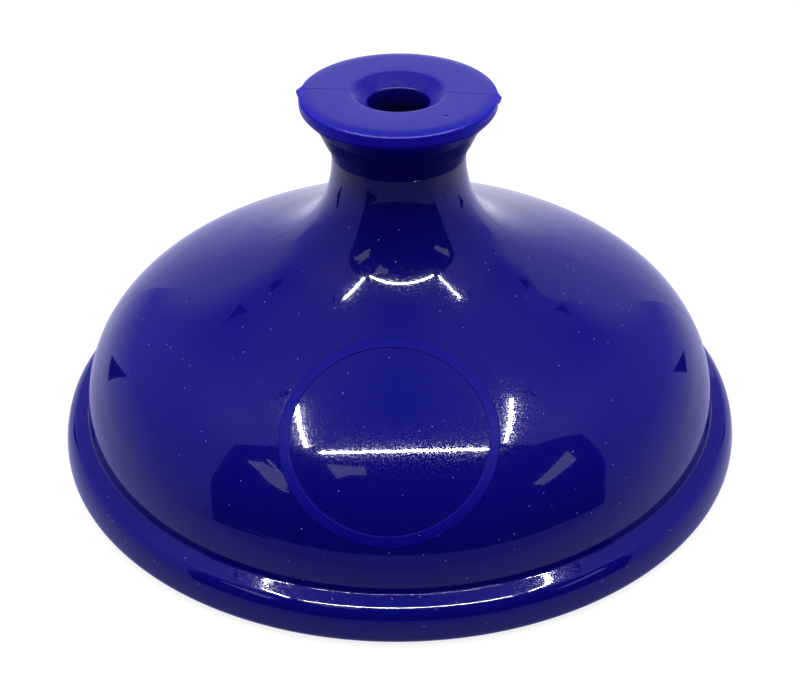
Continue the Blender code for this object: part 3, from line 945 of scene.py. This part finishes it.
def make_floor():
    """A pale sheet: white to the camera but for the mute's shadow, brighter towards the back in the gloss."""
    floor_size = 8.0
    paper, bounce_grey = (0.25, 0.25, 0.25, 1.0), (0.12, 0.12, 0.12, 1.0)
    deselect()
    bpy.ops.mesh.primitive_plane_add(size=floor_size, location=(0.0, 0.0, 0.0))
    floor = name_piece("floor_sheet")
    material = bpy.data.materials.new("floor_sheet")
    material.use_nodes = True
    tree = material.node_tree
    tree.nodes.remove(tree.nodes["Principled BSDF"])
    path = add_node(tree, "ShaderNodeLightPath").outputs
    in_gloss = add_node(tree, "ShaderNodeEmission", {"Color": cloth_glow(tree)})
    glare = add_node(tree, "ShaderNodeEmission", {"Strength": 0.80})
    lit_paper = add_node(tree, "ShaderNodeBsdfDiffuse", {"Color": paper})
    to_camera = add_node(tree, "ShaderNodeAddShader", {0: glare.outputs[0], 1: lit_paper.outputs[0]})
    bounce = add_node(tree, "ShaderNodeBsdfDiffuse", {"Color": bounce_grey})
    unseen = mix_shader(tree, path["Is Glossy Ray"], bounce, in_gloss)
    both = mix_shader(tree, path["Is Camera Ray"], unseen, to_camera)
    below = add_node(tree, "ShaderNodeNewGeometry").outputs["Backfacing"]
    clear = add_node(tree, "ShaderNodeBsdfTransparent")
    one_sided = mix_shader(tree, below, both, clear)
    tree.links.new(one_sided.outputs[0], tree.nodes["Material Output"].inputs["Surface"])
    material.cycles.emission_sampling = "NONE"
    floor.data.materials.append(material)


def make_world(stage):
    """White where the camera sees it, and a soft light on the object from above and behind."""
    world = bpy.data.worlds.new("studio")
    bpy.context.scene.world = world
    world.use_nodes = True
    tree = world.node_tree
    background = tree.nodes["Background"]
    path = add_node(tree, "ShaderNodeLightPath").outputs
    seen = calculate(tree, "MAXIMUM", path["Is Camera Ray"], path["Is Glossy Ray"])
    seen = calculate(tree, "MAXIMUM", seen, path["Is Transmission Ray"])
    direction = add_node(tree, "ShaderNodeTexCoord").outputs["Generated"]
    towards = add_node(tree, "ShaderNodeSeparateXYZ", {0: direction}).outputs
    top_gather = 3.0
    top = calculate(tree, "POWER", map_range(tree, towards["Z"], 0.0, 1.0, 0.0, 1.0), top_gather)
    side = calculate(tree, "ABSOLUTE", towards["X"])
    fill = map_range(tree, top, 0.0, 1.0, 0.0, stage.fill_top)
    for part, most in ((towards["Y"], stage.fill_back), (side, stage.fill_side)):
        fill = calculate(tree, "ADD", fill, map_range(tree, part, 0.0, 1.0, 0.0, most))
    strength = add_node(tree, "ShaderNodeMix", {0: seen, 2: fill, 3: 1.0})
    background.inputs["Color"].default_value = (1.0, 1.0, 1.0, 1.0)
    tree.links.new(strength.outputs[0], background.inputs["Strength"])
    world.cycles.sampling_method = "NONE"


def make_camera(stage):
    place = Vector((12.92, -290.0, 213.95)) * MM
    aim = Vector((6.569, 0.293, 27.018)) * MM
    roll = 0.00388286
    deselect()
    bpy.ops.object.camera_add(location=place)
    camera = name_piece("camera")
    camera.rotation_mode = "QUATERNION"
    camera.rotation_quaternion = (aim - place).to_track_quat("-Z", "Y") @ Quaternion((0.0, 0.0, 1.0), roll)
    camera.data.sensor_fit = "HORIZONTAL"
    camera.data.sensor_width = 36.0
    camera.data.lens = stage.lens
    camera.data.shift_x = -OFF_CENTRE / PHOTO_WIDTH
    camera.data.shift_y = -OFF_CENTRE / PHOTO_WIDTH
    camera.data.clip_start = 0.01
    bpy.context.scene.camera = camera


class MUTE_OT_stage(bpy.types.Operator):
    """Set up the floor, the light tent, the world and the camera"""

    bl_idname = "mute.stage"
    bl_label = "Stage"

    def execute(self, context):
        stage = context.scene.mute_stage
        make_floor()
        make_tent()
        make_hems()
        make_light_bars(stage)
        make_dark_room()
        make_world(stage)
        make_camera(stage)
        context.scene.view_settings.view_transform = "Standard"
        return {"FINISHED"}


GROUPS = {
    "mute_cup": MuteCup,
    "mute_badge": MuteBadge,
    "mute_rim": MuteRim,
    "mute_knob": MuteKnob,
    "mute_finish": MuteFinish,
    "mute_stage": MuteStage,
}
STEPS = (MUTE_OT_cup, MUTE_OT_mould_lines, MUTE_OT_badge, MUTE_OT_rim, MUTE_OT_knob, MUTE_OT_stage)


class MUTE_PT_panel(bpy.types.Panel):
    """The mute's sizes, colours and steps"""

    bl_idname = "MUTE_PT_panel"
    bl_label = "Plunger Mute"
    bl_space_type = "VIEW_3D"
    bl_region_type = "UI"
    bl_category = "Mute"

    def draw(self, context):
        for step in STEPS:
            self.layout.operator(step.bl_idname)
        for group_name in GROUPS:
            box = self.layout.box()
            group = getattr(context.scene, group_name)
            for prop_name in group.__annotations__:
                box.prop(group, prop_name)


def register():
    for group_name, group in GROUPS.items():
        bpy.utils.register_class(group)
        setattr(bpy.types.Scene, group_name, PointerProperty(type=group))
    for cls in STEPS + (MUTE_PT_panel,):
        bpy.utils.register_class(cls)


def unregister():
    for cls in (MUTE_PT_panel,) + STEPS[::-1]:
        bpy.utils.unregister_class(cls)
    for group_name, group in reversed(GROUPS.items()):
        delattr(bpy.types.Scene, group_name)
        bpy.utils.unregister_class(group)


def main():
    register()
    bpy.ops.mute.cup()
    bpy.ops.mute.mould_lines()
    bpy.ops.mute.badge()
    bpy.ops.mute.rim()
    bpy.ops.mute.knob()
    bpy.ops.mute.stage()


if __name__ == "__main__":
    main()
